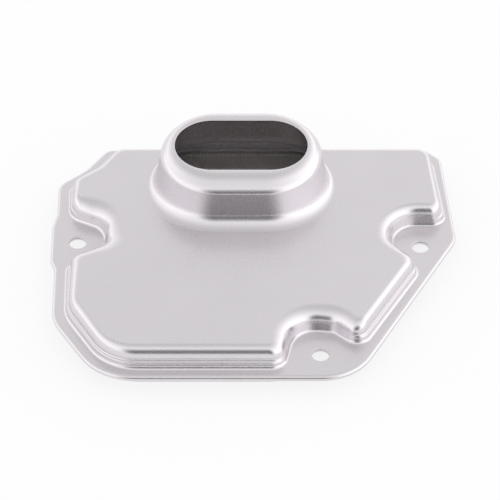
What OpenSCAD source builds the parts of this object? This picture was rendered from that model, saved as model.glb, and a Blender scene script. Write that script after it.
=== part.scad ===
// Automatic transmission oil filter: a pressed steel cover with an oval suction neck, crimped
// round a shallow pressed tray, with a woven wire screen held between the two.
// Millimetres, +Z up. The origin is under the middle of the filter, on the plane it stands on.

/* [Sheet] */
// Thickness of the pressed steel sheet
sheet = 0.8; // [0.6:0.1:1]
// Thickness of the woven wire screen
screen_t = 0.25; // [0.2:0.05:0.3]

/* [Heights] */
// Height of the flange's upper face above the ground
flange_z = 8.5; // [7:0.1:10]
// Height of the cover's flat top above the flange
dome_h = 8.5; // [7.5:0.1:10]
// Height of the neck's rim above the cover's flat top
neck_h = 19; // [14:0.5:26]

/* [Flange and crimp] */
// Width of the lip that is folded under the tray's flange
lip_w = 4.4; // [3:0.1:4.6]
// Diameter of the bolt holes
bolt_d = 6.8; // [6:0.1:7]
// Middle of the bolt hole on the left
bolt_left = [-67.7, 6.5]; // [-80:0.1:80]
// Middle of the bolt hole at the front
bolt_front = [25.1, -54.9]; // [-80:0.1:80]
// Middle of the bolt hole on the right
bolt_right = [64.3, 4.1]; // [-80:0.1:80]

/* [Cover wall] */
// Radius of the hollow between the flange and the wall
foot_r = 1.3; // [1:0.1:1.6]
// Height of the small step in the wall
ledge_h = 2.9; // [2.6:0.1:3.2]
// Radius of the step's edge
ledge_r = 0.9; // [0.9:0.1:1.1]
// Radius of the hollow above the step
ledge_hollow_r = 0.5; // [0.4:0.1:0.8]
// Radius of the shoulder under the flat top
shoulder_r = 2.3; // [2:0.1:2.6]
// Slope of the pressed walls, in degrees
wall_slope = 80; // [74:1:84]

/* [Neck] */
// Middle of the neck
neck_pos = [-4.7, 32.2]; // [-40:0.1:40]
// Half width, front reach and rear reach of the opening
mouth = [25.6, 14.3, 14.1]; // [10:0.1:26]
// Half width, front reach and rear reach of the rim's flat face
rim_flat = [26, 15.6, 16.9]; // [14:0.1:27]
// How far the rim's shoulder runs out at the sides, the front and the rear
rim_run = [4.7, 6.6, 5]; // [4:0.1:7]
// Height of the rim's shoulder
rim_drop = 6.3; // [4:0.1:8]
// Half width, front reach and rear reach of the neck's foot on the flat top
neck_foot = [38.5, 30.3, 23.7]; // [22:0.1:39]
// How far the hollow at the neck's foot runs out at the sides, the front and the rear
neck_hollow = [5.8, 6.8, 1.6]; // [1.5:0.1:8]
// Height of the hollow at the neck's foot
hollow_rise = 6.3; // [4:0.1:8]
// Slope of the neck's wall, in degrees
neck_slope = 78; // [74:1:84]

/* [Tray] */
// Slope of the tray's wall, in degrees
tray_slope = 85; // [84:1:88]
// Inner radius of the bends at the tray's flange and floor
tray_r = 1.3; // [1:0.1:1.4]
// Middle of the inlet in the tray's floor
inlet_pos = [-16, -30]; // [-40:1:20]
// Clear length of the inlet
inlet_l = 56; // [40:1:60]
// Clear width of the inlet
inlet_w = 22; // [18:1:26]
// Height of the inlet's turned-in lip above the ground
inlet_lip = 2.4; // [2:0.1:3]
// Depth of the stiffening beads that are pressed up into the floor
bead_h = 2; // [1.6:0.1:2]
// Width of a bead at the ground
bead_w = 9; // [7:0.5:11]

/* [Screen] */
// Spacing of the ridges and gaps that stand for the weave
gap_pitch = 10.4; // [10.4:0.1:14]
// Size of one gap
gap_w = 8.4; // [5:0.1:9]
// Width of a ridge
ridge_w = 1; // [0.6:0.1:1.2]
// Height of a ridge over the face of the screen
ridge_h = 0.15; // [0.1:0.05:0.2]
// Diameter of the screen's holes round the bolts
screen_hole_d = 9; // [8:0.5:12]

/* [Hidden] */
$fn = 64;
dome_z = flange_z + dome_h;
rim_z = dome_z + neck_h;
fold_h = 3 * sheet + screen_t;
fold_r = fold_h / 2;
screen_z = flange_z - sheet - screen_t;
tray_flange_z = screen_z - sheet;
lip_z = flange_z - fold_h;
// Room left between the tray's edge and the inside of the fold
edge_gap = 0.1;
// Run of the cover's wall for which its section is drawn
wall_run = 5.7;
// Flat left between two bends of the wall
bend_gap = 0.1;
// Height that the rounded shoulder of a pocket starts above the hollow at its foot
pocket_rise = 0.6;
// Largest turn between two points of a rounded corner, in degrees
arc_step = 15;
// Points on a bend of a section
arc_points = 4;
// Steps in the crimp's fold
fold_steps = 5;
// Steps in a quarter of the neck's outline, and in a bend of its section
neck_steps = 8;
bend_steps = 5;
bolts = [bolt_left, bolt_front, bolt_right];
// Run of the tray's wall, from its flange to its floor
tray_run = (2 * tray_r + sheet) * sin(tray_slope)
    + (tray_flange_z - (2 * tray_r + sheet) * (1 - cos(tray_slope))) / tan(tray_slope);
// Inner radius of the bend at the inlet's lip
inlet_bend = 0.8;
// Distance of the screen's first gap from the wall of the cover
gap_margin = 1.5;
// Gaps looked for each way from the middle of the screen
gap_count = 8;

// Corners of the flange's outer edge, anticlockwise from the front left: x, y and radius
flange_corners = [
    [-57.8, -67.2, 24], [38.2, -67.2, 21.5], [78.5, 8.5, 10.5], [73.9, 54.9, 5], [67.8, 60.4, 5],
    [28.3, 60.4, 6], [18.3, 67.2, 9], [-27.7, 67.2, 9], [-37.7, 60.4, 6], [-57.6, 60.4, 5],
    [-65.9, 48.3, 17.5], [-76.2, 39.7, 7], [-76.2, 23.4, 5], [-78, 15.7, 12], [-78, -3.2, 5],
    [-76.3, -8, 5], [-76.3, -35.9, 19]
];

// Corners of the wall's foot on the flange: x, y, radius, and 1 where the side that leaves the
// corner belongs to a pocket round a bolt
foot_corners = [
    [-55.1, -63.7, 21.5, 0], [12, -63.7, 6.5, 1], [16.7, -42, 9.5, 1], [30, -44.3, 5.6, 1],
    [40.7, -53.4, 6, 0], [64.9, -9.6, 7, 1], [54.8, 1.1, 8.2, 1], [52.2, 15.5, 9.5, 1],
    [75.2, 15.4, 5, 0], [70.4, 55.6, 7, 0], [27.3, 55.6, 5, 0], [17.3, 60, 9, 0],
    [-26.7, 60, 9, 0], [-36.7, 55.6, 5, 0], [-55.6, 55.6, 6, 0], [-62.8, 45.3, 12, 0],
    [-72.2, 36.9, 4.5, 0], [-71.7, 19.5, 8.5, 1], [-55.6, 11, 7.7, 1], [-59.4, 2.2, 6.3, 1],
    [-72.3, -7.5, 4, 0], [-72, -35, 20.5, 0]
];

// Corners of the flat top, one for each corner of the foot: x, y and radius
top_corners = [
    [-53.5, -58.8, 15], [8, -58.8, 1], [9.8, -38.2, 13], [33.3, -37.6, 16], [39.5, -45.9, 1],
    [58.9, -10.8, 4], [48.3, -0.8, 10], [50.1, 21.2, 13.5], [70.7, 19, 3], [67.4, 50.5, 4.5],
    [25.8, 50.5, 6], [16.3, 56.6, 12], [-25.7, 56.6, 12], [-35.2, 50.5, 6], [-52.1, 50.5, 5],
    [-58.4, 40.4, 12], [-67.4, 33.5, 3], [-68.4, 22.6, 1], [-54.9, 22.1, 14.8], [-48.7, -3.4, 8],
    [-66, -9.8, 4], [-67.1, -33.3, 10]
];

// Middle, length and direction of each bead in the tray's floor
beads = [
    [[-5, 40], 70, 0], [[-5, 22], 70, 0], [[-5, 4], 70, 0], [[52, 36], 24, 90]
];

// Value between a and b
function mix(a, b, f) = a + (b - a) * f;

// Direction of the side that leaves corner i, in degrees
function heading(c, i) =
    let (a = c[(i + len(c)) % len(c)], b = c[(i + 1 + len(c)) % len(c)])
    atan2(b.y - a.y, b.x - a.x);

// Turn at corner i, positive to the left
function turn(c, i) =
    let (t = heading(c, i) - heading(c, i - 1))
    t > 180 ? t - 360 : t < -180 ? t + 360 : t;

// Number of straight pieces that stand for each corner's arc
function arc_steps(c) = [for (i = [0:len(c) - 1]) max(1, ceil(abs(turn(c, i)) / arc_step))];

// Point at fraction f of the arc at corner i, and the outline's outward normal there
function arc_point(c, i, f) =
    let (
        h = heading(c, i - 1),
        t = turn(c, i),
        r = c[i][2] * sign(t),
        back = r * tan(t / 2),
        middle = [c[i].x - back * cos(h) - r * sin(h), c[i].y - back * sin(h) + r * cos(h)],
        normal = [sin(h + t * f), -cos(h + t * f)]
    )
    [middle + r * normal, normal];

// The rounded outline as points with normals, with n[i] pieces at corner i
function outline(c, n) = [for (i = [0:len(c) - 1]) for (k = [0:n[i]]) arc_point(c, i, k / n[i])];

// The outline moved inwards by d
function inset(line, d) = [for (p = line) p[0] - d * p[1]];

// A flat list of points lifted to height z
function lift(points, z) = [for (p = points) [p.x, p.y, z]];

// Share of the pocket's section at each point of the wall
function pocket_share(c, n) = [
    for (i = [0:len(c) - 1]) for (k = [0:n[i]])
        mix(c[(i + len(c) - 1) % len(c)][3], c[i][3], k / n[i])
];

// Points of an arc in a section, about the point m, from angle a to angle b
function arc(m, r, a, b, n) = [
    for (k = [0:n - 1]) let (g = mix(a, b, k / (n - 1))) [m.x + r * cos(g), m.y + r * sin(g)]
];

// A section moved towards its sheet's other face. Its ends are level, so they move straight down.
function sheet_back(s, t) = [
    for (k = [0:len(s) - 1])
        k == 0 || k == len(s) - 1 ? s[k] - [0, t]
        : let (d = s[k + 1] - s[k - 1]) s[k] - t * [-d.y, d.x] / norm(d)
];

// Section of the straight walls: hollow, riser, ledge, hollow, wall and shoulder
edge_x = foot_r * sin(wall_slope) + ledge_r * sin(wall_slope) + (ledge_h - foot_r - ledge_r
    + (foot_r + ledge_r) * cos(wall_slope)) / tan(wall_slope);
stepped = concat(
    arc([0, foot_r], foot_r, -90, wall_slope - 90, arc_points),
    arc([edge_x, ledge_h - ledge_r], ledge_r, 90 + wall_slope, 90, arc_points),
    arc([edge_x + bend_gap, ledge_h + ledge_hollow_r], ledge_hollow_r, -90, wall_slope - 90,
        arc_points - 1),
    arc([wall_run, dome_h - shoulder_r], shoulder_r, 90 + wall_slope, 90, arc_points)
);

// Section of the pockets round the bolts: the same hollow, then one long rounded shoulder
pocket_x = foot_r * sin(wall_slope) + bend_gap;
pocket_z = foot_r * (1 - cos(wall_slope)) + pocket_rise;
pocket = concat(
    arc([0, foot_r], foot_r, -90, wall_slope - 90, arc_points),
    [for (k = [0:3 * arc_points - 2]) let (g = 90 * k / (3 * arc_points - 2))
        [mix(wall_run, pocket_x, cos(g)), mix(pocket_z, dome_h, sin(g))]]
);

// The same two sections on the sheet's other face
stepped_back = sheet_back(stepped, sheet);
pocket_back = sheet_back(pocket, sheet);

// Outlines of the three pressed lines of the cover
foot_steps = arc_steps(foot_corners);
foot_line = outline(foot_corners, foot_steps);
top_line = outline(top_corners, foot_steps);
flange_line = outline(flange_corners, arc_steps(flange_corners));
shares = pocket_share(foot_corners, foot_steps);

// Ring k of the cover's wall: point k of its section, moved by the sheet's thickness for the
// other face. The two outlines are the wall's run.
function wall_ring(k, back) = [
    for (j = [0:len(foot_line) - 1])
        let (
            foot = foot_line[j][0],
            top = top_line[j][0],
            s = mix(stepped[k], pocket[k], shares[j]),
            other = mix(stepped_back[k], pocket_back[k], shares[j]) - s,
            p = mix(foot, top, s.x / wall_run) + back * other.x * (top - foot) / norm(top - foot)
        )
        [p.x, p.y, flange_z + s.y + back * other.y]
];

// Rounded outline of the neck for a half width, a front reach and a rear reach
function neck_outline(v) =
    let (r = (v[1] + v[2]) / 2, side = v[0] - r, y = neck_pos.y + (v[2] - v[1]) / 2)
    [
        for (q = [0:3]) for (k = [0:neck_steps])
            let (g = 90 * (q - 1) + 90 * k / neck_steps, s = q == 0 || q == 1 ? 1 : -1)
            [neck_pos.x + s * side + r * cos(g), y + r * sin(g)]
    ];

// Solid whose section's points are the rings, joined in order and back to the first
module closed_loft(rings) {
    n = len(rings);
    m = len(rings[0]);
    polyhedron(
        points = [for (r = rings) for (p = r) p],
        faces = [
            for (i = [0:n - 1]) for (j = [0:m - 1])
                let (
                    a = i * m + j,
                    b = i * m + (j + 1) % m,
                    c = (i + 1) % n * m + (j + 1) % m,
                    d = (i + 1) % n * m + j
                )
                each [[a, d, c], [a, c, b]]
        ]
    );
}

// Flat sheet between an outer outline and an inner one, with the bolt holes
module flat_ring(outer, inner, z, t, hole_d) {
    translate([0, 0, z])
        linear_extrude(t)
            difference() {
                polygon(outer);
                polygon(inner);
                for (b = bolts) translate(b) circle(d = hole_d);
            }
}

// Crimped edge: the cover's sheet turned round the tray's flange, with its lip underneath
module crimp() {
    mid_z = flange_z - fold_r;
    inner_r = fold_r - sheet;
    turns = [for (k = [0:fold_steps]) 180 * k / fold_steps];
    outside = [for (g = turns) [fold_r - fold_r * sin(g), mid_z + fold_r * cos(g)]];
    inside = [for (g = turns) [fold_r - inner_r * sin(g), mid_z - inner_r * cos(g)]];
    section = concat(outside, [[lip_w, lip_z], [lip_w, lip_z + sheet]], inside);
    last = len(section) - 1;
    closed_loft([for (k = [last:-1:0]) lift(inset(flange_line, section[k].x), section[k].y)]);
}

// Wall of the cover, from the flange to the flat top
module cover_wall() {
    last = len(stepped) - 1;
    closed_loft(concat([for (k = [0:last]) wall_ring(k, 0)], [for (k = [last:-1:0]) wall_ring(k, 1)]));
}

// Rings of the neck's foot on its upper face, or lower by t on the sheet's other face
function foot_rings(t) = [
    for (k = [0:bend_steps])
        let (g = neck_slope * k / bend_steps, run = neck_hollow + [t, t, t])
        lift(neck_outline(neck_foot - run * sin(g)), dome_z - t + (hollow_rise + t) * (1 - cos(g)))
];

// Rings of the rim's shoulder on its outer face, or inside it by t on the sheet's other face
function shoulder_rings(t) = [
    for (k = [bend_steps:-1:0])
        let (g = neck_slope * k / bend_steps, run = rim_run - [t, t, t])
        lift(neck_outline(rim_flat + run * sin(g)), rim_z - rim_drop + (rim_drop - t) * cos(g))
];

// A list in reverse
function reversed(a) = [for (k = [len(a) - 1:-1:0]) a[k]];

// Suction neck: a hollow foot, a steep wall, a rounded shoulder and a flat rim
module neck() {
    closed_loft(concat(
        foot_rings(0), shoulder_rings(0),
        [lift(neck_outline(mouth), rim_z), lift(neck_outline(mouth), rim_z - sheet)],
        reversed(shoulder_rings(sheet)), reversed(foot_rings(sheet))
    ));
}

// Cover: one sheet with its crimped edge, its wall, its flat top and its neck
module upper_shell() {
    color("silver") {
        crimp();
        flat_ring(inset(flange_line, fold_r), inset(foot_line, 0), flange_z - sheet, sheet, bolt_d);
        cover_wall();
        translate([0, 0, dome_z - sheet])
            linear_extrude(sheet)
                difference() {
                    polygon(inset(top_line, 0));
                    polygon(neck_outline(neck_foot));
                }
        neck();
    }
}

// Sweeps a half section round a long shape with round ends, whose middle line is 2 * half long
module round_ended(half) {
    for (side = [0, 180])
        rotate(side) {
            rotate([90, 0, 90]) linear_extrude(2 * half, center = true) children();
            translate([half, 0, 0]) rotate(-90) rotate_extrude(angle = 180) children();
        }
}

// Half section of a bead's cavity, or of its outer face with grow = sheet
module bead_section(grow) {
    r = (bead_w * bead_w / 4 + bead_h * bead_h) / (2 * bead_h);
    intersection() {
        translate([0, bead_h - r]) circle(r + grow);
        square(2 * bead_w);
    }
}

// Places its children at each bead
module at_beads() {
    for (b = beads) translate([b[0].x, b[0].y, 0]) rotate(b[2]) round_ended((b[1] - bead_w) / 2) children();
}

// Half section of the inlet's lip: a bend and a short upright wall
module lip_section() {
    bend = inlet_bend + sheet;
    translate([inlet_w / 2 + bend, bend])
        intersection() {
            difference() {
                circle(bend);
                circle(inlet_bend);
            }
            translate([-bend, -bend]) square(bend);
        }
    translate([inlet_w / 2, bend]) square([sheet, inlet_lip - bend]);
}

// Wall of the tray, from its flange down to its floor
module tray_wall() {
    r = tray_r;
    low = 270 - tray_slope;
    high = 90 - tray_slope;
    under = concat(
        arc([0, tray_flange_z - r], r, 90, high, arc_points),
        arc([tray_run, r + sheet], r + sheet, low, 270, arc_points)
    );
    over = concat(
        arc([0, tray_flange_z - r], r + sheet, 90, high, arc_points),
        arc([tray_run, r + sheet], r, low, 270, arc_points)
    );
    last = len(under) - 1;
    closed_loft(concat(
        [for (k = [last:-1:0]) lift(inset(foot_line, under[k].x), under[k].y)],
        [for (k = [0:last]) lift(inset(foot_line, over[k].x), over[k].y)]
    ));
}

// Floor of the tray, with its beads and its inlet
module tray_floor() {
    bend = inlet_bend + sheet;
    difference() {
        union() {
            linear_extrude(sheet) polygon(inset(foot_line, tray_run));
            at_beads() bead_section(sheet);
        }
        at_beads() bead_section(0);
        translate([inlet_pos.x, inlet_pos.y, -sheet])
            round_ended((inlet_l - inlet_w) / 2) square([inlet_w / 2 + bend, 3 * sheet]);
    }
    translate([inlet_pos.x, inlet_pos.y, 0]) round_ended((inlet_l - inlet_w) / 2) lip_section();
}

// Tray: flange, wall, and a floor with the inlet and the stiffening beads
module lower_shell() {
    color("gainsboro") {
        flat_ring(inset(flange_line, fold_r + edge_gap), inset(foot_line, 0), tray_flange_z, sheet, bolt_d);
        tray_wall();
        tray_floor();
    }
}

// Whether the point p lies inside an outline: a ray from it crosses the sides an odd number of times
function inside(p, line) =
    let (n = len(line))
    len([
        for (i = [0:n - 1])
            let (a = line[i], b = line[(i + 1) % n])
            if ((a.y > p.y) != (b.y > p.y) && p.x < a.x + (b.x - a.x) * (p.y - a.y) / (b.y - a.y)) 1
    ]) % 2 == 1;

// Middles of the gaps: those of the grid whose four corners lie inside the wall of the cover
function gaps() =
    let (
        reach = [-gap_w / 2, gap_w / 2],
        corners = [for (s = reach) for (t = reach) [s, t]],
        line = inset(foot_line, gap_margin)
    )
    [
        for (i = [-gap_count:gap_count]) for (j = [-gap_count:gap_count])
            let (p = [i * gap_pitch, j * gap_pitch])
            if (len([for (c = corners) if (inside(p + c, line)) 1]) == len(corners)) p
    ];

// Screen: a thin sheet held in the crimp, with clear holes round the bolts. Its gaps and the
// ridges between them, across above and along below, stand for the weave.
module filter_screen() {
    color("dimgray") {
        translate([0, 0, screen_z])
            linear_extrude(screen_t)
                difference() {
                    polygon(inset(flange_line, fold_r + edge_gap));
                    for (b = bolts) translate(b) circle(d = screen_hole_d);
                    for (p = gaps()) translate(p) square(gap_w, center = true);
                }
        for (side = [0, 1])
            translate([0, 0, side == 0 ? screen_z - ridge_h : screen_z + screen_t])
                linear_extrude(ridge_h)
                    intersection() {
                        polygon(inset(foot_line, tray_run));
                        for (k = [-gap_count:gap_count])
                            rotate(90 * side)
                                translate([(k + 0.5) * gap_pitch, 0])
                                    square([ridge_w, 3 * gap_count * gap_pitch], center = true);
                    }
    }
}

upper_shell();
lower_shell();
filter_screen();
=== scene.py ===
"""Looks of a pressed-steel automatic transmission oil filter.

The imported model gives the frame. The two shells are drawn again as fine closed sheets from the
same outlines and sections, the screen is woven from round wires, and a plain studio lights them.
Outlines and sections are in millimetres, and the meshes are in metres.
"""

from __future__ import annotations

import logging
import math
from dataclasses import dataclass
from enum import Enum
from typing import Any, Iterable, Sequence

import bmesh
import bpy
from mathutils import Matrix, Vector
from mathutils.geometry import delaunay_2d_cdt


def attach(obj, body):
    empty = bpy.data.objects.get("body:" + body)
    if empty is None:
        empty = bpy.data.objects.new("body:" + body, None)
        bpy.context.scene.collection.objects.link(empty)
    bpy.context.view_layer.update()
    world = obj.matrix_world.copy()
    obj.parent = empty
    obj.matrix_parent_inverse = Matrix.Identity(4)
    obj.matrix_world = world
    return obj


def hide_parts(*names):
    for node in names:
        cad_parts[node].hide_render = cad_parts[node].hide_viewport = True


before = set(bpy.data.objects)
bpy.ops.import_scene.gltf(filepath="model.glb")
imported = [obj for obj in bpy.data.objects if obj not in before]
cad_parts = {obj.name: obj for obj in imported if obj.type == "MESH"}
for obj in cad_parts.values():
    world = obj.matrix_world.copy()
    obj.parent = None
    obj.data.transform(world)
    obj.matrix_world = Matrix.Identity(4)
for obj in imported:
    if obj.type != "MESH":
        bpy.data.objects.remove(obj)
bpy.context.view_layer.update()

LOG = logging.getLogger("filter")
MM = 0.001
BODY = "root"
MATHS = "ShaderNodeMath"
# Turn between two faces past which their edge is sharp, in degrees
SHARP = 40.0
# Distances under which points count as one: in a flat outline, in mm, and in a mesh, in metres
SNAP = 1e-7
MERGE = 1e-8
Line = list[tuple[Vector, Vector]]
Ring = list[int]
Reach = tuple[float, ...]


class Wires(Enum):
    """The two sets of wires in the screen, by the way that they run."""

    WARP = "warp"
    WEFT = "weft"


def mix(a: float, b: float, share: float) -> float:
    """Return the value at a share of the way from a to b."""
    return a + (b - a) * share


def linear(hex_colour: str) -> tuple[float, float, float, float]:
    """Turn an sRGB hex colour into the linear colour that a shader takes.

    Args:
        hex_colour: Colour such as "#C8C4C8".

    Returns:
        Linear red, green, blue and an alpha of 1.
    """
    channels = [int(hex_colour[i : i + 2], 16) / 255 for i in (1, 3, 5)]
    red, green, blue = (
        c / 12.92 if c <= 0.04045 else ((c + 0.055) / 1.055) ** 2.4 for c in channels
    )
    return red, green, blue, 1.0


def add_node(
    tree: bpy.types.NodeTree,
    kind: str,
    settings: dict[str, Any] | None = None,
    inputs: dict[Any, Any] | Sequence[Any] = (),
) -> bpy.types.Node:
    """Add a node with its settings, values and links.

    Args:
        tree: Tree that gets the node.
        kind: The node's type name.
        settings: Properties of the node, by name.
        inputs: Values, source sockets, or source nodes, which give their first output. They come
            in the inputs' order, or by the name or number of the input.

    Returns:
        The new node.
    """
    node = tree.nodes.new(kind)
    for name, value in (settings or {}).items():
        setattr(node, name, value)
    given = inputs if isinstance(inputs, dict) else dict(enumerate(inputs))
    for key, value in given.items():
        source = value.outputs[0] if isinstance(value, bpy.types.Node) else value
        if isinstance(source, bpy.types.NodeSocket):
            tree.links.new(source, node.inputs[key])
        else:
            node.inputs[key].default_value = source
    return node


def new_material(name: str) -> tuple[bpy.types.Material, bpy.types.NodeTree, bpy.types.Node]:
    """Make a material that has only its shader.

    Args:
        name: Name of the material.

    Returns:
        The material, its tree and its shader.
    """
    made = bpy.data.materials.new(name)
    made.use_nodes = True
    return made, made.node_tree, made.node_tree.nodes["Principled BSDF"]


@dataclass(frozen=True)
class Corner:
    """A rounded corner of an outline, and whether a bolt's pocket starts there."""

    x: float
    y: float
    radius: float
    pocket: float = 0.0


@dataclass(frozen=True)
class Outline:
    """A closed outline with rounded corners, anticlockwise from above."""

    corners: tuple[Corner, ...]

    @classmethod
    def through(cls, *corners: tuple[float, ...]) -> Outline:
        """Return the outline with these corners: x, y, radius, and 1 where a pocket starts."""
        return cls(tuple(Corner(*corner) for corner in corners))

    def heading(self, i: int) -> float:
        """Find the direction of a side.

        Args:
            i: Number of the corner that the side leaves.

        Returns:
            The direction, in radians.
        """
        count = len(self.corners)
        start, end = self.corners[i % count], self.corners[(i + 1) % count]
        return math.atan2(end.y - start.y, end.x - start.x)

    def turn(self, i: int) -> float:
        """Return the turn at corner i, positive to the left, in radians."""
        return math.remainder(self.heading(i) - self.heading(i - 1), math.tau)

    def steps(self, largest: float) -> list[int]:
        """Return the number of pieces for each corner's arc.

        Args:
            largest: Largest turn between two points, in degrees.

        Returns:
            One number for each corner.
        """
        turns = (abs(math.degrees(self.turn(i))) for i in range(len(self.corners)))
        return [max(2, math.ceil(turn / largest)) for turn in turns]

    def trace(self, steps: Sequence[int]) -> Line:
        """Follow the outline round its corners.

        Args:
            steps: Number of pieces for each corner's arc.

        Returns:
            Points with the outline's outward normals.
        """
        line: Line = []
        for i, corner in enumerate(self.corners):
            before, turn = self.heading(i - 1), self.turn(i)
            radius = math.copysign(corner.radius, turn)
            along = Vector((math.cos(before), math.sin(before)))
            left = Vector((-along.y, along.x))
            middle = Vector((corner.x, corner.y)) - along * radius * math.tan(turn / 2) + left * radius
            for k in range(steps[i] + 1):
                angle = before + turn * k / steps[i]
                normal = Vector((math.sin(angle), -math.cos(angle)))
                line.append((middle + radius * normal, normal))
        return line

    def pocket_shares(self, steps: Sequence[int]) -> list[float]:
        """Find how much of the pocket's section each traced point has.

        Args:
            steps: Number of pieces for each corner's arc.

        Returns:
            A share for each point, from 0 for a stepped wall to 1 in a pocket.
        """
        return [
            mix(self.corners[i - 1].pocket, corner.pocket, k / steps[i])
            for i, corner in enumerate(self.corners)
            for k in range(steps[i] + 1)
        ]


def inset(line: Line, distance: float) -> list[Vector]:
    """Return the line's points moved inwards by a distance."""
    return [point - distance * normal for point, normal in line]


def arc(middle: tuple[float, float], radius: float, start: float, end: float, count: int) -> list[Vector]:
    """Return points on an arc of a section.

    Args:
        middle: Centre of the arc.
        radius: Radius of the arc.
        start: First angle, in degrees.
        end: Last angle, in degrees.
        count: Number of points.

    Returns:
        The points, from the first angle to the last.
    """
    angles = [math.radians(mix(start, end, k / (count - 1))) for k in range(count)]
    return [Vector((middle[0] + radius * math.cos(g), middle[1] + radius * math.sin(g))) for g in angles]


def other_face(section: Sequence[Vector], thickness: float) -> list[Vector]:
    """Move a section to its sheet's other face.

    Args:
        section: Points of the section, level at both ends.
        thickness: Thickness of the sheet.

    Returns:
        The moved points.
    """
    moved = []
    for k, point in enumerate(section):
        ahead = section[min(k + 1, len(section) - 1)]
        behind = section[max(k - 1, 0)]
        way = (ahead - behind).normalized() if 0 < k < len(section) - 1 else Vector((1, 0))
        moved.append(point - thickness * Vector((-way.y, way.x)))
    return moved


class SheetMesh:
    """Collects rings of points and joins them into one closed sheet."""

    def __init__(self) -> None:
        """Start with no points and no faces."""
        self.points: list[tuple[float, float, float]] = []
        self.faces: list[tuple[int, ...]] = []

    def ring(self, points: Iterable[Vector], z: float | Sequence[float]) -> Ring:
        """Add a closed ring of points.

        Args:
            points: The ring's points, seen from above.
            z: One height for all of them, or a height for each.

        Returns:
            The numbers of the new points.
        """
        first = len(self.points)
        for k, point in enumerate(points):
            height = z[k] if isinstance(z, (list, tuple)) else z
            self.points.append((point.x, point.y, height))
        return list(range(first, len(self.points)))

    def band(self, rings: Sequence[Ring]) -> None:
        """Join each ring to the next with a band of faces.

        Args:
            rings: Rings of as many points each, in order.
        """
        for low, high in zip(rings, rings[1:]):
            count = len(low)
            for j in range(count):
                k = (j + 1) % count
                self.faces.append((low[j], low[k], high[k], high[j]))

    def plate(self, outer: Ring, holes: Sequence[Ring]) -> None:
        """Fill the flat area between an outer ring and the holes in it.

        Args:
            outer: The ring round the area.
            holes: Rings inside it that stay open.
        """
        numbers = [i for loop in (outer, *holes) for i in loop]
        flat = [Vector(self.points[i][:2]) for i in numbers]
        edges, start = [], 0
        for loop in (outer, *holes):
            edges += [(start + j, start + (j + 1) % len(loop)) for j in range(len(loop))]
            start += len(loop)
        found = delaunay_2d_cdt(flat, edges, [], 1, SNAP)
        places, triangles, origins = found[0], found[2], found[3]
        outlines = [[Vector(self.points[i][:2]) for i in loop] for loop in holes]
        for triangle in triangles:
            middle = sum((places[i] for i in triangle), Vector((0, 0))) / len(triangle)
            if not any(holds(outline, middle) for outline in outlines):
                self.faces.append(tuple(numbers[origins[i][0]] for i in triangle))

    def piece(self, name: str) -> bpy.types.Object:
        """Make the mesh object, in metres, with its faces outwards and smooth.

        Args:
            name: Name of the new object.

        Returns:
            The object, linked to the scene.
        """
        mesh = bpy.data.meshes.new(name)
        mesh.from_pydata([tuple(c * MM for c in point) for point in self.points], [], self.faces)
        work = bmesh.new()
        work.from_mesh(mesh)
        bmesh.ops.remove_doubles(work, verts=work.verts, dist=MERGE)
        bmesh.ops.recalc_face_normals(work, faces=work.faces)
        if work.calc_volume(signed=True) < 0:
            bmesh.ops.reverse_faces(work, faces=work.faces)
        loose = sum(1 for edge in work.edges if len(edge.link_faces) != 2)
        LOG.info("%s: %d faces, %d edges not shared by two", name, len(work.faces), loose)
        work.to_mesh(mesh)
        work.free()
        mesh.shade_smooth()
        mesh.set_sharp_from_angle(angle=math.radians(SHARP))
        made = bpy.data.objects.new(name, mesh)
        bpy.context.scene.collection.objects.link(made)
        return made


def holds(outline: Sequence[Vector], point: Vector) -> bool:
    """Tell whether a point lies inside an outline, by the sides that a ray from it crosses.

    Args:
        outline: The outline's points, in order.
        point: The point to test.

    Returns:
        True where the point lies inside.
    """
    crossings = 0
    for a, b in zip(outline, [*outline[1:], outline[0]]):
        if (a.y > point.y) != (b.y > point.y):
            crossings += point.x < a.x + (b.x - a.x) * (point.y - a.y) / (b.y - a.y)
    return crossings % 2 == 1


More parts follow.
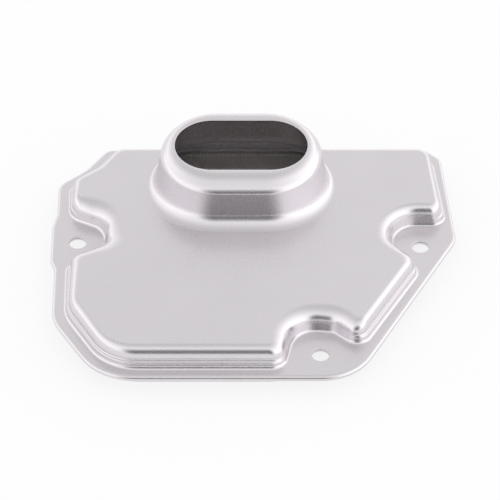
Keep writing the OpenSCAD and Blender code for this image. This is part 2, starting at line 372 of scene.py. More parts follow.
@dataclass(frozen=True)
class Blank:
    """The outlines and heights that the pressed pieces share, in millimetres.

    The flange's outline is the cover's outer edge. The foot and the top are the two ends of the
    cover's wall, with a corner of the top for each corner of the foot. A guard is a narrow band
    of flat sheet next to a bend or a hole, which keeps its shading flat.
    """

    sheet: float = 0.8
    screen: float = 0.25
    flange_z: float = 8.5
    dome_z: float = 17.0
    bolt_r: float = 3.4
    bolts: tuple[tuple[float, float], ...] = ((-67.7, 6.5), (25.1, -54.9), (64.3, 4.1))
    largest_turn: float = 5.0
    hole_steps: int = 48
    guard: float = 0.3
    cut_edge: float = 0.15
    cut_points: int = 4
    flange: Outline = Outline.through(
        (-57.8, -67.13, 24), (38.2, -67.13, 21.5), (78.37, 8.5, 10.5), (73.9, 54.9, 5),
        (67.8, 60.4, 5), (28.3, 60.4, 6), (18.3, 67.13, 9), (-27.7, 67.13, 9), (-37.7, 60.4, 6),
        (-57.6, 60.4, 5), (-65.9, 48.3, 17.5), (-76.2, 39.7, 7), (-76.2, 23.4, 5), (-77.93, 15.7, 12),
        (-77.93, -3.2, 5), (-76.3, -8, 5), (-76.3, -35.9, 19),
    )
    foot: Outline = Outline.through(
        (-55.1, -63.7, 21.5), (12, -63.7, 6.5, 1), (16.7, -42, 9.5, 1), (30, -44.3, 5.6, 1),
        (40.7, -53.4, 6), (64.9, -9.6, 7, 1), (54.8, 1.1, 8.2, 1), (52.2, 15.5, 9.5, 1),
        (75.2, 15.4, 5), (70.4, 55.6, 7), (27.3, 55.6, 5), (17.3, 60, 9), (-26.7, 60, 9),
        (-36.7, 55.6, 5), (-55.6, 55.6, 6), (-62.8, 45.3, 12), (-72.2, 36.9, 4.5),
        (-71.7, 19.5, 8.5, 1), (-55.6, 11, 7.7, 1), (-59.4, 2.2, 6.3, 1), (-72.3, -7.5, 4),
        (-72, -35, 20.5),
    )
    top: Outline = Outline.through(
        (-53.7, -57.6, 14.5), (6.6, -57.6, 2), (8.4, -36.5, 16.5), (33.5, -35.9, 15),
        (39.9, -44.4, 1.3), (58, -11.6, 4), (47.1, -1.3, 11), (48.9, 21.6, 16), (70.3, 19.3, 3),
        (67.1, 50, 4), (26.6, 50, 7), (16.3, 56.6, 11.5), (-25.7, 56.6, 11.5), (-36, 50, 7),
        (-51.7, 50, 4.5), (-57.9, 40, 13), (-67, 33, 3), (-67.9, 23.8, 1), (-53.9, 23.3, 15),
        (-47.3, -4.2, 9), (-65.8, -11, 4), (-66.8, -33, 9.5),
    )

    @property
    def fold_r(self) -> float:
        """Outer radius of the crimp's fold."""
        return (3 * self.sheet + self.screen) / 2

    @property
    def tray_flange_z(self) -> float:
        """Height of the underside of the tray's flange."""
        return self.flange_z - 2 * self.sheet - self.screen

    def line(self, outline: Outline) -> Line:
        """Follow one of the outlines, with its outward normals."""
        return outline.trace(outline.steps(self.largest_turn))

    def bolt_holes(self, sheet: SheetMesh, top_z: float, bottom_z: float) -> tuple[list[Ring], list[Ring]]:
        """Add the walls of the three bolt holes to a sheet.

        Args:
            sheet: The mesh that gets them.
            top_z: Height of the sheet's upper face.
            bottom_z: Height of its lower face.

        Returns:
            The guard rings of the holes in the upper face and in the lower face.
        """
        upper, lower = [], []
        for x, y in self.bolts:
            rings = []
            for out, z in self.hole_section(top_z, bottom_z):
                rings.append(sheet.ring(circle(x, y, self.bolt_r + out, self.hole_steps), z))
            sheet.band(rings)
            upper.append(rings[0])
            lower.append(rings[-1])
        return upper, lower

    def hole_section(self, top_z: float, bottom_z: float) -> list[tuple[float, float]]:
        """Work out the section of a punched hole's wall, whose upper edge is drawn in.

        Args:
            top_z: Height of the sheet's upper face.
            bottom_z: Height of its lower face.

        Returns:
            The distance from the wall and the height of each point, from the top down.
        """
        edge = self.cut_edge
        rounded = arc((edge, top_z - edge), edge, 90, 180, self.cut_points)
        section = [(edge + self.guard, top_z), *((p.x, p.y) for p in rounded)]
        return [*section, (0.0, bottom_z), (self.guard, bottom_z)]


def circle(x: float, y: float, radius: float, count: int) -> list[Vector]:
    """Return evenly spaced points on a circle.

    Args:
        x: Middle of the circle.
        y: Middle of the circle.
        radius: Radius of the circle.
        count: Number of points.

    Returns:
        The points, anticlockwise.
    """
    angles = [math.tau * k / count for k in range(count)]
    return [Vector((x + radius * math.cos(g), y + radius * math.sin(g))) for g in angles]


@dataclass(frozen=True)
class PressedSteel:
    """Bright cold-rolled steel sheet, pressed and cleaned.

    It gives the eye a soft satin gloss with a fine even grain, and a very slight waviness where
    the sheet was drawn. The real grain is finer than a tenth of a millimetre, so it is drawn
    coarser here, to show.
    """

    name: str = "pressed_cold_rolled_steel"
    bright: str = "#E2DEE1"
    dull: str = "#DAD6DA"
    roughness: float = 0.26
    roughness_spread: float = 0.02
    grain_mm: float = 0.45
    grain_depth_mm: float = 0.0012
    wave_mm: float = 38.0
    wave_depth_mm: float = 0.05
    grain_range: tuple[float, float] = (0.3, 0.7)

    def material(self) -> bpy.types.Material:
        """Build the material.

        Returns:
            The finished material.
        """
        made, tree, shader = new_material(self.name)
        place = add_node(tree, "ShaderNodeTexCoord").outputs["Object"]
        cloud = add_node(
            tree,
            "ShaderNodeTexNoise",
            inputs={"Vector": place, "Scale": 1 / (self.wave_mm * MM), "Detail": 3.0, "Roughness": 0.55},
        )
        grain = add_node(
            tree,
            "ShaderNodeTexNoise",
            inputs={"Vector": place, "Scale": 1 / (self.grain_mm * MM), "Detail": 2.0, "Roughness": 0.6},
        )
        tint = add_node(
            tree,
            "ShaderNodeMix",
            {"data_type": "RGBA"},
            {"Factor": cloud.outputs["Fac"], 6: linear(self.dull), 7: linear(self.bright)},
        )
        gloss = add_node(
            tree,
            "ShaderNodeMapRange",
            inputs={
                "Value": grain.outputs["Fac"],
                "From Min": self.grain_range[0],
                "From Max": self.grain_range[1],
                "To Min": self.roughness - self.roughness_spread,
                "To Max": self.roughness + self.roughness_spread,
            },
        )
        wave = add_node(
            tree,
            "ShaderNodeBump",
            inputs={"Height": cloud.outputs["Fac"], "Distance": self.wave_depth_mm * MM, "Strength": 1.0},
        )
        fine = add_node(
            tree,
            "ShaderNodeBump",
            inputs={
                "Height": grain.outputs["Fac"],
                "Distance": self.grain_depth_mm * MM,
                "Strength": 1.0,
                "Normal": wave.outputs["Normal"],
            },
        )
        shader.inputs["Metallic"].default_value = 1.0
        tree.links.new(tint.outputs[2], shader.inputs["Base Color"])
        tree.links.new(gloss.outputs["Result"], shader.inputs["Roughness"])
        tree.links.new(fine.outputs["Normal"], shader.inputs["Normal"])
        return made


@dataclass(frozen=True)
class WovenWire:
    """Drawn stainless wire, woven plain.

    It gives the eye a soft gloss on each wire, less bright than the pressed sheet's, with slow
    changes of tone over the weave. It reads as dark grey because it lies in the casing's shade.
    """

    name: str = "woven_stainless_wire"
    light: str = "#C4BFBB"
    dark: str = "#B2ADA9"
    roughness: float = 0.38
    patch_mm: float = 6.0

    def material(self) -> bpy.types.Material:
        """Build the material.

        Returns:
            The finished material.
        """
        made, tree, shader = new_material(self.name)
        place = add_node(tree, "ShaderNodeTexCoord").outputs["Object"]
        cloud = add_node(
            tree,
            "ShaderNodeTexNoise",
            inputs={"Vector": place, "Scale": 1 / (self.patch_mm * MM), "Detail": 2.0},
        )
        tint = add_node(
            tree,
            "ShaderNodeMix",
            {"data_type": "RGBA"},
            {"Factor": cloud.outputs["Fac"], 6: linear(self.dark), 7: linear(self.light)},
        )
        shader.inputs["Metallic"].default_value = 1.0
        shader.inputs["Roughness"].default_value = self.roughness
        tree.links.new(tint.outputs[2], shader.inputs["Base Color"])
        return made


def seat(piece: bpy.types.Object, finish: bpy.types.Material, slot: str, *nodes: str) -> None:
    """Dress a piece and fix it to the part.

    Args:
        piece: The finished piece.
        finish: Its material.
        slot: The record's material slot. It is not used.
        nodes: The CAD nodes that it stands for.
    """
    piece.data.materials.clear()
    piece.data.materials.append(finish)
    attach(piece, BODY)
    if nodes:
        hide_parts(*nodes)
    LOG.info("%s rides on %s", piece.name, BODY)


@dataclass
class UpperShell:
    """The cover: one sheet with its crimped edge, stepped wall, flat top and suction neck.

    Sizes are in millimetres and degrees. The mouth, the rim and the neck's foot each have a half
    width, a front reach and a rear reach. Each of the rim's bends has its radius, the lean that
    it ends at, and the length of the cone that follows it.
    """

    blank: Blank
    lip_w: float = 4.4
    foot_r: float = 1.9
    ledge_h: float = 2.9
    ledge_r: float = 0.8
    ledge_hollow_r: float = 0.8
    ledge_flat: float = 0.1
    shoulder_r: float = 5.0
    wall_slope: float = 85.0
    wall_run: float = 8.6
    pocket_run: float = 7.2
    pocket_slope: float = 79.0
    pocket_foot_r: float = 1.3
    neck_x: float = -4.7
    neck_y: float = 32.2
    neck_h: float = 19.0
    mouth: tuple[float, float, float] = (25.6, 14.3, 14.1)
    rim_flat: tuple[float, float, float] = (26.0, 15.6, 16.9)
    rim_share: tuple[float, float, float] = (0.71, 1.0, 0.7)
    rim_bends: tuple[tuple[float, float, float], ...] = ((6.7, 39, 1.9), (6, 60, 0), (3, 80, 0))
    neck_foot: tuple[float, float, float] = (36.3, 30.3, 23.7)
    neck_hollow: tuple[float, float, float] = (3.6, 6.5, 1.4)
    hollow_rise: float = 6.3
    neck_slope: float = 78.0
    arc_points: int = 12
    fold_points: int = 19
    neck_steps: int = 24

    def wall_sections(self) -> tuple[list[Vector], list[Vector]]:
        """Work out the wall's two sections, from the flange to the flat top.

        Returns:
            The stepped section of the straight walls, and the rounded one of the pockets. Both
            have the same width and as many points, so that one can turn into the other.
        """
        lean, count = math.radians(self.wall_slope), self.arc_points
        height = self.blank.dome_z - self.blank.flange_z
        bends = self.foot_r + self.ledge_r
        rise = self.ledge_h - bends * (1 - math.cos(lean))
        ledge = (bends * math.sin(lean) + rise / math.tan(lean), self.ledge_h - self.ledge_r)
        hollow = (ledge[0] + self.ledge_flat, self.ledge_h + self.ledge_hollow_r)
        shoulder = (self.wall_run, height - self.shoulder_r)
        stepped = [
            *arc((0, self.foot_r), self.foot_r, -90, self.wall_slope - 90, count),
            *arc(ledge, self.ledge_r, 90 + self.wall_slope, 90, count),
            *arc(hollow, self.ledge_hollow_r, -90, self.wall_slope - 90, count),
            *arc(shoulder, self.shoulder_r, 90 + self.wall_slope, 90, count),
        ]
        lean = math.radians(self.pocket_slope)
        bends = (self.pocket_run - height / math.tan(lean)) / math.tan(lean / 2)
        low = arc((0, self.pocket_foot_r), self.pocket_foot_r, -90, self.pocket_slope - 90, count)
        radius = bends - self.pocket_foot_r
        high = arc((self.pocket_run, height - radius), radius, 90 + self.pocket_slope, 90, count)
        straight = [low[-1].lerp(high[0], k / (2 * count + 1)) for k in range(1, 2 * count + 1)]
        wider = self.wall_run / self.pocket_run
        return stepped, [Vector((p.x * wider, p.y)) for p in (*low, *straight, *high)]

    def neck_line(self, reach: Sequence[float]) -> list[Vector]:
        """Work out an outline of the neck: a long shape with round ends.

        Args:
            reach: The outline's half width, front reach and rear reach.

        Returns:
            Points of the outline, anticlockwise.
        """
        half, front, rear = reach
        radius = (front + rear) / 2
        middle_y = self.neck_y + (rear - front) / 2
        line = []
        for quarter in range(4):
            side = half - radius if quarter in (0, 1) else radius - half
            for k in range(self.neck_steps + 1):
                angle = math.radians(90 * (quarter - 1 + k / self.neck_steps))
                x = self.neck_x + side + radius * math.cos(angle)
                line.append(Vector((x, middle_y + radius * math.sin(angle))))
        return line

    def crimp(self, sheet: SheetMesh, line: Line) -> tuple[Ring, Ring]:
        """Add the folded edge.

        Args:
            sheet: The mesh that gets it.
            line: The flange's outer line.

        Returns:
            The guard rings in the flange's upper and lower face.
        """
        fold_r, top = self.blank.fold_r, self.blank.flange_z
        inner_r = fold_r - self.blank.sheet
        middle = (fold_r, top - fold_r)
        outside = arc(middle, fold_r, 90, 270, self.fold_points)
        inside = arc(middle, inner_r, 270, 90, self.fold_points)
        guard = fold_r + self.blank.guard
        edge = self.blank.cut_edge
        low, high = top - 2 * fold_r, top - 2 * fold_r + self.blank.sheet
        lip = arc((self.lip_w - edge, low + edge), edge, 270, 360, self.blank.cut_points)
        lip += arc((self.lip_w - edge, high - edge), edge, 0, 90, self.blank.cut_points)
        before = Vector((self.lip_w - edge - self.blank.guard, low))
        after = Vector((self.lip_w - edge - self.blank.guard, high))
        section = [
            Vector((guard, top)),
            *outside,
            Vector((guard, low)),
            before,
            *lip,
            after,
            Vector((guard, high)),
            *inside,
            Vector((guard, top - self.blank.sheet)),
        ]
        rings = [sheet.ring(inset(line, point.x), point.y) for point in section]
        sheet.band(rings)
        return rings[0], rings[-1]

    def wall(self, sheet: SheetMesh, thickness: float) -> tuple[Ring, Ring]:
        """Add one face of the wall, with guard rings in the flats at both ends.

        Args:
            sheet: The mesh that gets it.
            thickness: 0 for the outer face, or the sheet's thickness for the inner one.

        Returns:
            The guard rings in the flange and in the flat top.
        """
        blank = self.blank
        steps = blank.foot.steps(blank.largest_turn)
        foot, top = blank.foot.trace(steps), blank.top.trace(steps)
        shares = blank.foot.pocket_shares(steps)
        stepped, rounded = self.wall_sections()
        backs = [other_face(section, thickness) for section in (stepped, rounded)]
        rings = [sheet.ring(inset(foot, -blank.guard), blank.flange_z - thickness)]
        for a, b, a_back, b_back in zip(stepped, rounded, *backs):
            places, heights = [], []
            for (low, _), (high, _), share in zip(foot, top, shares):
                front, back = a.lerp(b, share), a_back.lerp(b_back, share)
                inwards = (high - low).normalized() * (back.x - front.x)
                places.append(low.lerp(high, front.x / self.wall_run) + inwards)
                heights.append(blank.flange_z + back.y)
            rings.append(sheet.ring(places, heights))
        rings.append(sheet.ring(inset(top, blank.guard), blank.dome_z - thickness))
        sheet.band(rings)
        return rings[0], rings[-1]

    def rim_section(self) -> list[tuple[Vector, float]]:
        """Work out the section of the rim's shoulder, from the neck's wall up to the flat rim.

        Returns:
            For each point its distance from the rim's flat and its height against it, and how far
            the section leans there, in radians.
        """
        made, at, start = [], Vector((0, 0)), 0.0
        for radius, end, cone in self.rim_bends:
            stop = math.radians(end)
            for k in range(self.arc_points):
                lean = mix(start, stop, k / (self.arc_points - 1))
                around = Vector((math.sin(lean) - math.sin(start), math.cos(lean) - math.cos(start)))
                made.append((at + radius * around, lean))
            at = made[-1][0] + cone * Vector((math.cos(stop), -math.sin(stop)))
            start = stop
        return made[::-1]

    def neck_rings(self) -> list[tuple[Reach, float]]:
        """Return the neck's rings from the flat top, over the rim and back inside to the flat top.

        Returns:
            For each ring its half width, front reach and rear reach, and its height.
        """
        blank, count = self.blank, self.arc_points
        rim_z = blank.dome_z + self.neck_h
        angles = [math.radians(self.neck_slope * k / (count - 1)) for k in range(count)]

        def grown(reach: Sequence[float], by: float) -> Reach:
            """Return the reach with the same distance added all round."""
            return tuple(r + by for r in reach)

        def spread(reach: Sequence[float], run: Sequence[float], share: float) -> Reach:
            """Return the reach moved out by a share of the run."""
            return tuple(r + out * share for r, out in zip(reach, run))

        def foot(t: float) -> list[tuple[Reach, float]]:
            """Return the rings of the hollow foot, on its upper face or lower by t."""
            run, rise = grown(self.neck_hollow, t), self.hollow_rise + t
            return [
                (spread(self.neck_foot, run, -math.sin(g)), blank.dome_z - t + rise * (1 - math.cos(g)))
                for g in angles
            ]

        def shoulder(t: float) -> list[tuple[Reach, float]]:
            """Return the rings of the rim's shoulder, on its outer face or inside it by t."""
            made = []
            for point, lean in self.rim_section():
                reach = spread(self.rim_flat, self.rim_share, point.x)
                made.append((grown(reach, -t * math.sin(lean)), rim_z + point.y - t * math.cos(lean)))
            return made

        edge = blank.cut_edge
        cut = [
            (grown(self.mouth, point.x), rim_z - edge + point.y)
            for point in arc((edge, 0), edge, 90, 180, blank.cut_points)
        ]
        outer = [(grown(self.neck_foot, blank.guard), blank.dome_z), *foot(0), *shoulder(0)]
        inner = [*shoulder(blank.sheet)[::-1], *foot(blank.sheet)[::-1]]
        under = (grown(self.neck_foot, blank.guard), blank.dome_z - blank.sheet)
        return [*outer, *cut, (self.mouth, rim_z - blank.sheet), *inner, under]

    def build(self) -> bpy.types.Object:
        """Build the cover as one closed sheet.

        Returns:
            The cover, without its finish.
        """
        blank, sheet = self.blank, SheetMesh()
        crimp_top, crimp_under = self.crimp(sheet, blank.line(blank.flange))
        holes_top, holes_under = blank.bolt_holes(sheet, blank.flange_z, blank.flange_z - blank.sheet)
        foot_out, top_out = self.wall(sheet, 0)
        foot_in, top_in = self.wall(sheet, blank.sheet)
        neck = [sheet.ring(self.neck_line(reach), z) for reach, z in self.neck_rings()]
        sheet.band(neck)
        sheet.plate(crimp_top, [foot_out, *holes_top])
        sheet.plate(crimp_under, [foot_in, *holes_under])
        sheet.plate(top_out, [neck[0]])
        sheet.plate(top_in, [neck[-1]])
        return sheet.piece("pressed_cover")

    def dress(self, piece: bpy.types.Object, finish: bpy.types.Material) -> None:
        """Give the cover its finish and fix it to the part."""
        seat(piece, finish, "cover_steel", "upper_shell")


@dataclass
class LowerShell:
    """The tray: a flange held in the crimp, a short wall, and a floor with beads and an inlet."""

    blank: Blank
    edge_gap: float = 0.1
    slope: float = 85.0
    bend: float = 1.3
    inlet_at: tuple[float, float] = (-16.0, -30.0)
    inlet_size: tuple[float, float] = (56.0, 22.0)
    inlet_bend: float = 0.8
    inlet_lip: float = 2.4
    bead_w: float = 9.0
    bead_h: float = 2.0
    beads: tuple[tuple[float, float, float, float], ...] = (
        (-5, 40, 70, 0),
        (-5, 22, 70, 0),
        (-5, 4, 70, 0),
        (52, 36, 24, 90),
    )
    arc_points: int = 10
    end_steps: int = 18

    def long_ring(self, x: float, y: float, length: float, width: float, turn: float = 0) -> list[Vector]:
        """Return the outline of a long shape with round ends.

        Args:
            x: Middle of the shape.
            y: Middle of the shape.
            length: Whole length.
            width: Width.
            turn: Direction of its length, in degrees.

        Returns:
            Points of the outline, anticlockwise.
        """
        half, radius = (length - width) / 2, width / 2
        line = []
        for side in (1, -1):
            for k in range(self.end_steps + 1):
                angle = math.radians(180 * k / self.end_steps - 90 * side)
                line.append(Vector((side * half + radius * math.cos(angle), radius * math.sin(angle))))
        sine, cosine = math.sin(math.radians(turn)), math.cos(math.radians(turn))
        return [Vector((x + p.x * cosine - p.y * sine, y + p.x * sine + p.y * cosine)) for p in line]

    def wall_sections(self) -> tuple[list[Vector], list[Vector]]:
        """Work out the wall's section, from the flange down to the floor.

        Returns:
            The section of the upper face, and that of the lower face.
        """
        thick, count, top = self.blank.sheet, self.arc_points, self.blank.tray_flange_z
        lean = math.radians(self.slope)
        bends = 2 * self.bend + thick
        run = bends * math.sin(lean) + (top - bends * (1 - math.cos(lean))) / math.tan(lean)
        faces = []
        for near, far in ((self.bend + thick, self.bend), (self.bend, self.bend + thick)):
            faces.append(
                [
                    *arc((0, top - self.bend), near, 90, 90 - self.slope, count),
                    *arc((run, self.bend + thick), far, 270 - self.slope, 270, count),
                ]
            )
        return faces[0], faces[1]

    def wall(self, sheet: SheetMesh, section: Sequence[Vector]) -> tuple[Ring, Ring]:
        """Add one face of the wall, with guard rings in the flats at both ends.

        Args:
            sheet: The mesh that gets it.
            section: The face's section.

        Returns:
            The guard rings in the flange and in the floor.
        """
        foot = self.blank.line(self.blank.foot)
        guard = Vector((self.blank.guard, 0))
        points = [section[0] - guard, *section, section[-1] + guard]
        rings = [sheet.ring(inset(foot, point.x), point.y) for point in points]
        sheet.band(rings)
        return rings[0], rings[-1]

    def bead(self, sheet: SheetMesh, place: Sequence[float], thick: float) -> Ring:
        """Add one face of a bead.

        Args:
            sheet: The mesh that gets it.
            place: Middle, length and direction of the bead.
            thick: 0 for the lower face, or the sheet's thickness for the upper one.

        Returns:
            The bead's ring in the floor.
        """
        x, y, length, turn = place
        radius = (self.bead_w**2 / 4 + self.bead_h**2) / (2 * self.bead_h)
        middle_z = self.bead_h - radius
        far = math.acos((thick - middle_z) / (radius + thick))
        count = self.arc_points
        rings = []
        for k in range(count):
            angle = far * (1 - k / count)
            width = 2 * (radius + thick) * math.sin(angle)
            line = self.long_ring(x, y, length - self.bead_w + width, width, turn)
            rings.append(sheet.ring(line, middle_z + (radius + thick) * math.cos(angle)))
        sheet.band(rings)
        sheet.plate(rings[-1], [])
        return rings[0]

    def inlet(self, sheet: SheetMesh) -> tuple[Ring, Ring]:
        """Add the inlet's turned-in lip.

        Args:
            sheet: The mesh that gets it.

        Returns:
            Its rings in the floor's upper and lower face.
        """
        thick, bend, edge = self.blank.sheet, self.inlet_bend, self.blank.cut_edge
        middle = (thick + bend, thick + bend)
        count, cut_points = self.arc_points, self.blank.cut_points
        section = [
            Vector((middle[0] + self.blank.guard, 0)),
            *arc(middle, bend + thick, 270, 180, count),
            *arc((edge, self.inlet_lip - edge), edge, 180, 90, cut_points),
            *arc((thick - edge, self.inlet_lip - edge), edge, 90, 0, cut_points),
            *arc(middle, bend, 180, 270, count),
            Vector((middle[0] + self.blank.guard, thick)),
        ]
        x, y = self.inlet_at
        length, width = self.inlet_size
        rings = [
            sheet.ring(self.long_ring(x, y, length + 2 * point.x, width + 2 * point.x), point.y)
            for point in section
        ]
        sheet.band(rings)
        return rings[-1], rings[0]

    def build(self) -> bpy.types.Object:
        """Build the tray as one closed sheet.

        Returns:
            The tray, without its finish.
        """
        blank, sheet = self.blank, SheetMesh()
        low, high = blank.tray_flange_z, blank.tray_flange_z + blank.sheet
        edge = inset(blank.line(blank.flange), blank.fold_r + self.edge_gap)
        rims = [sheet.ring(edge, high), sheet.ring(edge, low)]
        sheet.band(rims)
        holes_top, holes_under = blank.bolt_holes(sheet, high, low)
        over, under = self.wall_sections()
        foot_over, floor_over = self.wall(sheet, over)
        foot_under, floor_under = self.wall(sheet, under)
        sheet.plate(rims[0], [foot_over, *holes_top])
        sheet.plate(rims[1], [foot_under, *holes_under])
        inlet_over, inlet_under = self.inlet(sheet)
        beads_over = [self.bead(sheet, place, blank.sheet) for place in self.beads]
        beads_under = [self.bead(sheet, place, 0) for place in self.beads]
        sheet.plate(floor_over, [inlet_over, *beads_over])
        sheet.plate(floor_under, [inlet_under, *beads_under])
        return sheet.piece("pressed_tray")

    def dress(self, piece: bpy.types.Object, finish: bpy.types.Material) -> None:
        """Give the tray its finish and fix it to the part."""
        seat(piece, finish, "tray_steel", "lower_shell")


@dataclass
class FilterScreen:
    """The screen: a plain weave of round wires, held by a flat edge in the crimp.

    The real weave has several wires to the millimetre. It is drawn coarser, to show.
    """

    blank: Blank
    pitch: float = 0.7
    wire_r: float = 0.17
    swing: float = 0.1
    wire_sides: int = 3
    hole_r: float = 4.5
    edge_gap: float = 0.1
    grip: float = 0.4
    half_reach: float = 80.0
    ray_from: float = 1000.0

    @property
    def middle_z(self) -> float:
        """Height of the middle of the screen."""
        return self.blank.flange_z - self.blank.sheet - self.blank.screen / 2

    def edge(self) -> bpy.types.Object:
        """Build the flat edge that the flanges hold, from the crimp to just outside the wall's foot.

        Returns:
            The edge, with clear holes round the bolts.
        """
        blank, sheet = self.blank, SheetMesh()
        outer = inset(blank.line(blank.flange), blank.fold_r + self.edge_gap)
        inner = inset(blank.line(blank.foot), -self.grip)
        faces = []
        for z in (self.middle_z + blank.screen / 2, self.middle_z - blank.screen / 2):
            holes = [sheet.ring(circle(x, y, self.hole_r, blank.hole_steps), z) for x, y in blank.bolts]
            faces.append([sheet.ring(outer, z), sheet.ring(inner, z), *holes])
            sheet.plate(faces[-1][0], faces[-1][1:])
        for upper, lower in zip(*faces):
            sheet.band([upper, lower])
        return sheet.piece("screen_edge")

    def field(self) -> bpy.types.Object:
        """Build the flat area that the weave fills, for the weave's tree to trim the wires to.

        Returns:
            The area, which isn't a piece of the filter and is removed later.
        """
        sheet = SheetMesh()
        ring = sheet.ring(inset(self.blank.line(self.blank.foot), -self.grip), self.middle_z)
        sheet.plate(ring, [])
        return sheet.piece("weave_field")

    def weave_tree(self, finish: bpy.types.Material) -> bpy.types.NodeTree:
        """Build the Geometry Nodes tree that weaves one set of wires inside a flat area.

        Args:
            finish: The wires' material.

        Returns:
            The tree. Its inputs are the area, the pitch, the wire's radius, the length of the
            wires before they are trimmed, the height of the crossings, the direction of the wires,
            how far they swing up at every other crossing, and the number of a wire's sides.
        """
        tree = bpy.data.node_groups.new("plain_weave", "GeometryNodeTree")
        tree.interface.new_socket("Area", in_out="INPUT", socket_type="NodeSocketGeometry")
        for name in ("Pitch", "Wire Radius", "Reach", "Height", "Direction", "Swing"):
            tree.interface.new_socket(name, in_out="INPUT", socket_type="NodeSocketFloat")
        tree.interface.new_socket("Sides", in_out="INPUT", socket_type="NodeSocketInt")
        tree.interface.new_socket("Weave", in_out="OUTPUT", socket_type="NodeSocketGeometry")
        given = add_node(tree, "NodeGroupInput").outputs

        def line(axis: int) -> bpy.types.Node:
            """Add a centred line of points, a pitch apart.

            Args:
                axis: 0 for a line along X, 1 for a line along Y.

            Returns:
                The node that makes the line.
            """
            ratio = add_node(tree, MATHS, {"operation": "DIVIDE"}, (given["Reach"], given["Pitch"]))
            spaces = add_node(tree, MATHS, {"operation": "ROUND"}, (ratio,))
            count = add_node(tree, MATHS, {"operation": "ADD"}, (spaces, 1.0))
            start = add_node(tree, MATHS, {"operation": "MULTIPLY"}, (given["Reach"], -0.5))
            begin = add_node(tree, "ShaderNodeCombineXYZ", inputs={axis: start})
            step = add_node(tree, "ShaderNodeCombineXYZ", inputs={axis: given["Pitch"]})
            places = {"Count": count, "Start Location": begin, "Offset": step}
            return add_node(tree, "GeometryNodeMeshLine", {"mode": "OFFSET"}, places)

        wire, rows = line(0), line(1)
        laid = add_node(tree, "GeometryNodeInstanceOnPoints", inputs={"Points": rows, "Instance": wire})
        real = add_node(tree, "GeometryNodeRealizeInstances", inputs={"Geometry": laid})
        turn = add_node(tree, "ShaderNodeCombineXYZ", inputs={2: given["Direction"]})
        turned = add_node(tree, "GeometryNodeTransform", inputs={"Geometry": real, "Rotation": turn})
        where = add_node(tree, "GeometryNodeInputPosition")
        x, y, _ = add_node(tree, "ShaderNodeSeparateXYZ", inputs=(where,)).outputs
        along = add_node(tree, MATHS, {"operation": "ADD"}, (x, y))
        crossing = add_node(tree, MATHS, {"operation": "DIVIDE"}, (along, given["Pitch"]))
        phase = add_node(tree, MATHS, {"operation": "MULTIPLY"}, (crossing, math.pi))
        wave = add_node(tree, MATHS, {"operation": "COSINE"}, (phase,))
        heights = (wave, given["Swing"], given["Height"])
        height = add_node(tree, MATHS, {"operation": "MULTIPLY_ADD"}, heights)
        lift = add_node(tree, "ShaderNodeCombineXYZ", inputs={2: height})
        waved = add_node(tree, "GeometryNodeSetPosition", inputs={"Geometry": turned, "Offset": lift})
        # A ray straight down from above a point hits the area where the wire stays
        above = add_node(tree, "ShaderNodeCombineXYZ", inputs=(x, y, self.ray_from * MM))
        seen = add_node(
            tree,
            "GeometryNodeRaycast",
            inputs={
                "Target Geometry": given["Area"],
                "Source Position": above,
                "Ray Length": 2 * self.ray_from * MM,
            },
        )
        missed = add_node(tree, "FunctionNodeBooleanMath", {"operation": "NOT"}, (seen.outputs["Is Hit"],))
        kept = add_node(
            tree,
            "GeometryNodeDeleteGeometry",
            {"domain": "POINT"},
            {"Geometry": waved, "Selection": missed},
        )
        paths = add_node(tree, "GeometryNodeMeshToCurve", inputs={"Mesh": kept})
        profile = add_node(
            tree,
            "GeometryNodeCurvePrimitiveCircle",
            {"mode": "RADIUS"},
            {"Resolution": given["Sides"], "Radius": given["Wire Radius"]},
        )
        tubes = add_node(
            tree,
            "GeometryNodeCurveToMesh",
            inputs={"Curve": paths, "Profile Curve": profile, "Fill Caps": True},
        )
        whole = add_node(tree, "GeometryNodeRealizeInstances", inputs={"Geometry": tubes})
        dressed = add_node(tree, "GeometryNodeSetMaterial", inputs={"Geometry": whole, "Material": finish})
        add_node(tree, "NodeGroupOutput", inputs=(dressed,))
        return tree

    def weave(
        self, tree: bpy.types.NodeTree, field_piece: bpy.types.Object, wires: Wires
    ) -> bpy.types.Object:
        """Weave one set of wires and turn it into a plain mesh.

        Args:
            tree: The weave's tree.
            field_piece: The flat area, which is left as it was.
            wires: The set to weave.

        Returns:
            The woven piece.
        """
        across = wires is Wires.WEFT
        values = {
            "Pitch": self.pitch * MM,
            "Wire Radius": self.wire_r * MM,
            "Reach": 2 * round(self.half_reach / self.pitch) * self.pitch * MM,
            "Height": self.middle_z * MM,
            "Direction": math.pi / 2 if across else 0.0,
            "Swing": (-self.swing if across else self.swing) * MM,
            "Sides": self.wire_sides,
        }
        modifier = field_piece.modifiers.new("weave", "NODES")
        modifier.node_group = tree
        sockets = {item.name: item.identifier for item in tree.interface.items_tree}
        for name, value in values.items():
            modifier[sockets[name]] = value
        graph = bpy.context.evaluated_depsgraph_get()
        mesh = bpy.data.meshes.new_from_object(field_piece.evaluated_get(graph))
        field_piece.modifiers.remove(modifier)
        mesh.name = f"screen_{wires.value}"
        mesh.shade_smooth()
        made = bpy.data.objects.new(mesh.name, mesh)
        bpy.context.scene.collection.objects.link(made)
        LOG.info("%s: %d faces", made.name, len(mesh.polygons))
        return made

    def build(self, finish: bpy.types.Material) -> list[bpy.types.Object]:
        """Build the screen.

        Args:
            finish: The wires' material.

        Returns:
            The flat edge, the warp and the weft.
        """
        field_piece = self.field()
        tree = self.weave_tree(finish)
        pieces = [self.edge(), *(self.weave(tree, field_piece, wires) for wires in Wires)]
        bpy.data.objects.remove(field_piece)
        return pieces

    def dress(self, pieces: Sequence[bpy.types.Object], finish: bpy.types.Material) -> None:
        """Give the screen its finish and fix it to the part."""
        for piece in pieces:
            seat(piece, finish, "screen_wire", "filter_screen")


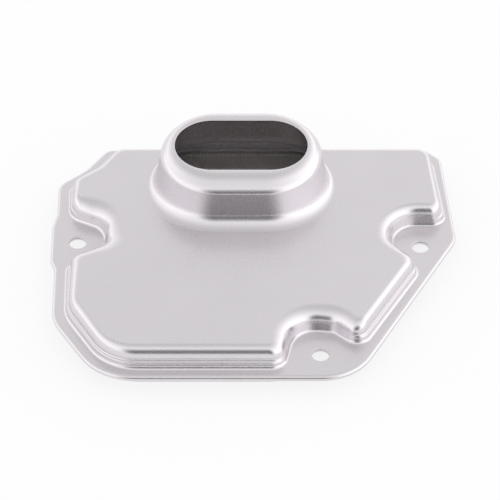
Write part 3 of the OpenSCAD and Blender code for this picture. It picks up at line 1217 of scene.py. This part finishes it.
@dataclass
class Studio:
    """The floor, the camera and the light tent round the filter.

    The tent's levels are strengths of the world's light. The gap's are the height that it stands
    at and the turns from its middle at which it starts and is darkest, in degrees.
    """

    aim_mm: tuple[float, float, float] = (-1.3, 2.2, 8.5)
    distance_mm: float = 1538.46
    pitch: float = 43.2
    lens: float = 288.0
    sensor: float = 36.0
    floor_size: float = 8.0
    floor_colour: str = "#F8F8F8"
    floor_roughness: float = 0.9
    floor_glow: float = 0.8
    tent_top: float = 0.745
    tent_low: float = 0.9
    tent_bend: float = 0.3
    tent_sides: float = 0.26
    tent_right: float = 0.13
    tent_front: float = 0.25
    gap_at: float = 12.0
    gap_turns: tuple[float, float] = (34.0, 6.0)
    gap_level: float = 0.12

    def camera(self) -> None:
        """Place the camera where the photograph was taken from."""
        data = bpy.data.cameras.new("camera")
        data.lens = self.lens
        data.sensor_width = self.sensor
        made = bpy.data.objects.new("camera", data)
        pitch = math.radians(self.pitch)
        back = Vector((0, -math.cos(pitch), math.sin(pitch)))
        made.location = (Vector(self.aim_mm) + back * self.distance_mm) * MM
        made.rotation_euler = (math.pi / 2 - pitch, 0, 0)
        bpy.context.scene.collection.objects.link(made)
        bpy.context.scene.camera = made

    def floor(self) -> None:
        """Lay the white floor under the filter. It glows a little for the camera, for glossy
        reflections and through glass, and the rest of it takes the filter's soft shadow."""
        half = self.floor_size / 2
        corners = [(-half, -half, 0), (half, -half, 0), (half, half, 0), (-half, half, 0)]
        mesh = bpy.data.meshes.new("floor")
        mesh.from_pydata(corners, [], [(0, 1, 2, 3)])
        made = bpy.data.objects.new("floor", mesh)
        bpy.context.scene.collection.objects.link(made)
        finish, tree, shader = new_material("white_paper")
        shader.inputs["Base Color"].default_value = linear(self.floor_colour)
        shader.inputs["Roughness"].default_value = self.floor_roughness
        shader.inputs["Specular IOR Level"].default_value = 0.0
        rays = add_node(tree, "ShaderNodeLightPath").outputs
        first = add_node(tree, MATHS, {"operation": "ADD"}, (rays["Is Camera Ray"], rays["Is Glossy Ray"]))
        every = add_node(tree, MATHS, {"operation": "ADD"}, (first, rays["Is Transmission Ray"]))
        seen = add_node(tree, MATHS, {"operation": "MINIMUM"}, (every, 1.0))
        glow = add_node(tree, "ShaderNodeEmission", inputs={"Color": (1, 1, 1, 1), "Strength": 1.0})
        share = add_node(tree, MATHS, {"operation": "MULTIPLY"}, (seen, self.floor_glow))
        both = add_node(tree, "ShaderNodeMixShader", inputs=(share, shader, glow))
        tree.links.new(both.outputs[0], tree.nodes["Material Output"].inputs["Surface"])
        mesh.materials.append(finish)

    def tent(self) -> None:
        """Light the tent: brightest low down and at the sides, most at the right, darker high at
        the back, and with a dark gap low in front, where the camera looks in."""
        world = bpy.data.worlds.new("light_tent")
        world.use_nodes = True
        bpy.context.scene.world = world
        tree = world.node_tree
        way = add_node(tree, "ShaderNodeTexCoord").outputs["Generated"]
        x, y, z = add_node(tree, "ShaderNodeSeparateXYZ", inputs=(way,)).outputs
        down = add_node(tree, MATHS, {"operation": "SUBTRACT"}, (1.0, z))
        bent = add_node(tree, MATHS, {"operation": "MULTIPLY_ADD"}, (down, -self.tent_bend, self.tent_low))
        low = add_node(tree, MATHS, {"operation": "MULTIPLY"}, (down, bent))
        side = add_node(tree, MATHS, {"operation": "MULTIPLY_ADD"}, (x, self.tent_sides, self.tent_right))
        sides = add_node(tree, MATHS, {"operation": "MULTIPLY"}, (side, x))
        rear = add_node(tree, MATHS, {"operation": "MULTIPLY"}, (y, z))
        top = add_node(tree, MATHS, {"operation": "MULTIPLY_ADD"}, (rear, -self.tent_front, self.tent_top))
        around = add_node(tree, MATHS, {"operation": "ADD"}, (low, sides))
        level = add_node(tree, MATHS, {"operation": "ADD"}, (around, top))
        rise = math.radians(self.gap_at)
        towards = add_node(
            tree,
            "ShaderNodeVectorMath",
            {"operation": "DOT_PRODUCT"},
            (way, (0.0, -math.cos(rise), math.sin(rise))),
        )
        outer, inner = (math.cos(math.radians(turn)) for turn in self.gap_turns)
        gap = add_node(
            tree,
            "ShaderNodeMapRange",
            {"interpolation_type": "SMOOTHSTEP"},
            {
                "Value": towards.outputs["Value"],
                "From Min": outer,
                "From Max": inner,
                "To Min": 1.0,
                "To Max": self.gap_level,
            },
        )
        background = tree.nodes["Background"]
        background.inputs["Color"].default_value = (1, 1, 1, 1)
        strength = add_node(tree, MATHS, {"operation": "MULTIPLY"}, (level, gap))
        tree.links.new(strength.outputs[0], background.inputs["Strength"])

    def build(self) -> None:
        """Set up the whole studio."""
        self.camera()
        self.floor()
        self.tent()
        bpy.context.scene.view_settings.view_transform = "Standard"


def main() -> None:
    """Build the filter and its studio, and report each piece."""
    logging.basicConfig(level=logging.INFO, format="%(name)s: %(message)s")
    blank = Blank()
    steel, wire = PressedSteel().material(), WovenWire().material()
    cover = UpperShell(blank)
    cover.dress(cover.build(), steel)
    tray = LowerShell(blank)
    tray.dress(tray.build(), steel)
    screen = FilterScreen(blank)
    screen.dress(screen.build(wire), wire)
    Studio().build()


if __name__ == "__main__":
    main()
